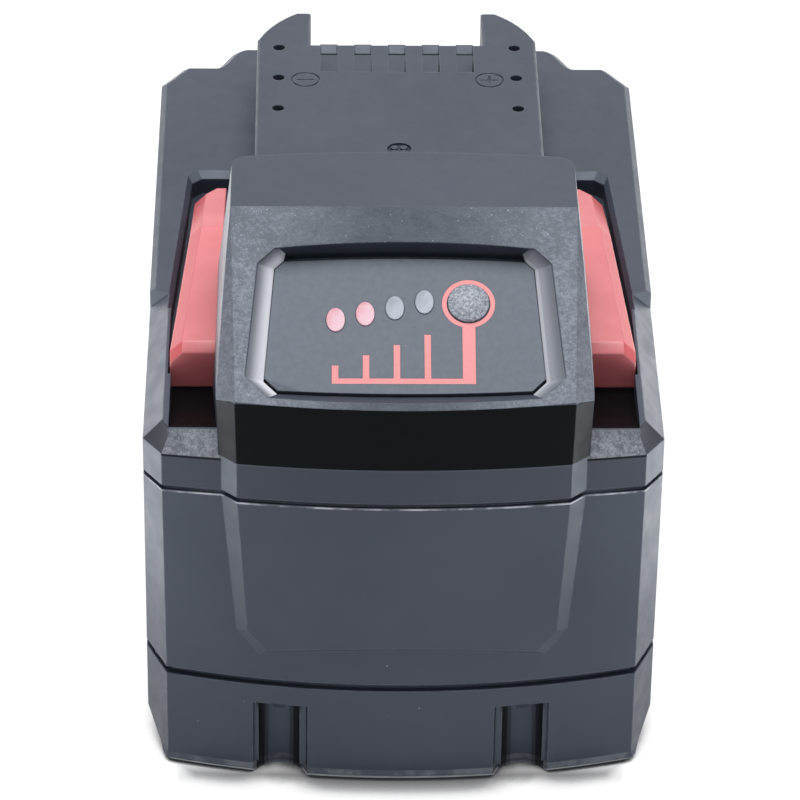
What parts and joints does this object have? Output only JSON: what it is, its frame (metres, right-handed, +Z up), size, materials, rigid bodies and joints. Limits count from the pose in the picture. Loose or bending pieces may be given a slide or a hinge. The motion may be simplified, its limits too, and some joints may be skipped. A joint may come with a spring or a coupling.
{
  "type": "power tool battery pack",
  "caption": "Slide-on battery pack for cordless tools, with red side release buttons and a sloping charge gauge.",
  "frame": {"origin": "middle of the pack's length and width, on its flat underside", "axes": "+X across the pack to its right as the gauge is read, +Y from the gauge end to the terminal end, +Z up from the underside to the slide rail"},
  "size_m": [0.0842, 0.1312, 0.0929],
  "materials": {
    "housing_plastic": "fine moulded texture, satin",
    "gauge_plastic": "fine grain, matt",
    "red_print": "smooth inlay",
    "lit_lens": "clear lens over a light that is on",
    "unlit_lens": "clear lens over a light that is off",
    "button_rubber": "fine grain, matt",
    "release_red": "satin moulded",
    "hook_steel": "plated",
    "screw_steel": "black oxide",
    "switch_plastic": "moulded",
    "led_plastic": "clear epoxy",
    "board_green": "solder mask",
    "terminal_plastic": "glass filled, matt",
    "contact_brass": "plated",
    "cell_sleeve": "shrink sleeve",
    "holder_plastic": "moulded",
    "nickel": "rolled strip",
    "insulator_paper": "fish paper",
    "foam": "closed-cell foam"
  },
  "bodies": {
    "pack": {"bottom_housing": "housing_plastic", "middle_housing": "housing_plastic", "top_housing": "housing_plastic", "gauge_panel": "gauge_plastic", "gauge_graphic": "red_print", "charge_lens_1": "lit_lens", "charge_lens_2": "lit_lens", "charge_lens_3": "unlit_lens", "charge_lens_4": "unlit_lens", "switch_body": "switch_plastic", "gauge_board": "board_green", "charge_leds": "led_plastic", "gauge_board_screws": "screw_steel", "left_release_spring": "hook_steel", "right_release_spring": "hook_steel", "terminal_block": "terminal_plastic", "terminal_contact_1": "contact_brass", "terminal_contact_2": "contact_brass", "terminal_contact_3": "contact_brass", "terminal_contact_4": "contact_brass", "terminal_contact_5": "contact_brass", "main_board": "board_green", "main_board_screws": "screw_steel", "power_transistors": "switch_plastic", "control_chip": "switch_plastic", "cell_column1_row1": "cell_sleeve", "cell_column1_row2": "cell_sleeve", "cell_column1_row3": "cell_sleeve", "cell_column2_row1": "cell_sleeve", "cell_column2_row2": "cell_sleeve", "cell_column2_row3": "cell_sleeve", "cell_column3_row1": "cell_sleeve", "cell_column3_row2": "cell_sleeve", "cell_column3_row3": "cell_sleeve", "cell_column4_row1": "cell_sleeve", "cell_column4_row2": "cell_sleeve", "cell_column4_row3": "cell_sleeve", "cell_column5_row1": "cell_sleeve", "cell_column5_row2": "cell_sleeve", "cell_column5_row3": "cell_sleeve", "left_cell_holder": "holder_plastic", "right_cell_holder": "holder_plastic", "left_cell_strip_1": "nickel", "left_cell_strip_2": "nickel", "left_cell_strip_3": "nickel", "right_cell_strip_1": "nickel", "right_cell_strip_2": "nickel", "right_cell_strip_3": "nickel", "front_current_bar": "contact_brass", "rear_current_bar": "contact_brass", "left_insulator": "insulator_paper", "right_insulator": "insulator_paper", "base_pad": "foam", "housing_screws": "screw_steel"},
    "left_release": {"left_release_button": "release_red", "left_latch_hook": "hook_steel"},
    "right_release": {"right_release_button": "release_red", "right_latch_hook": "hook_steel"},
    "gauge_button": {"gauge_button_cap": "button_rubber", "switch_plunger": "switch_plastic"}
  },
  "joints": [
    {"name": "left_release_slide", "type": "slide", "parent": "pack", "child": "left_release", "axis": [1, 0, 0], "range_m": [0, 0.003], "stiffness_N_per_m": 1200, "springref_m": -0.001, "deforming": ["left_release_spring"]},
    {"name": "right_release_slide", "type": "slide", "parent": "pack", "child": "right_release", "axis": [-1, 0, 0], "range_m": [0, 0.003], "stiffness_N_per_m": 1200, "springref_m": -0.001, "deforming": ["right_release_spring"]},
    {"name": "gauge_button_slide", "type": "slide", "parent": "pack", "child": "gauge_button", "axis": [0, 0.515, -0.8572], "range_m": [0, 0.0005], "stiffness_N_per_m": 1500, "springref_m": -0.0003}
  ]
}
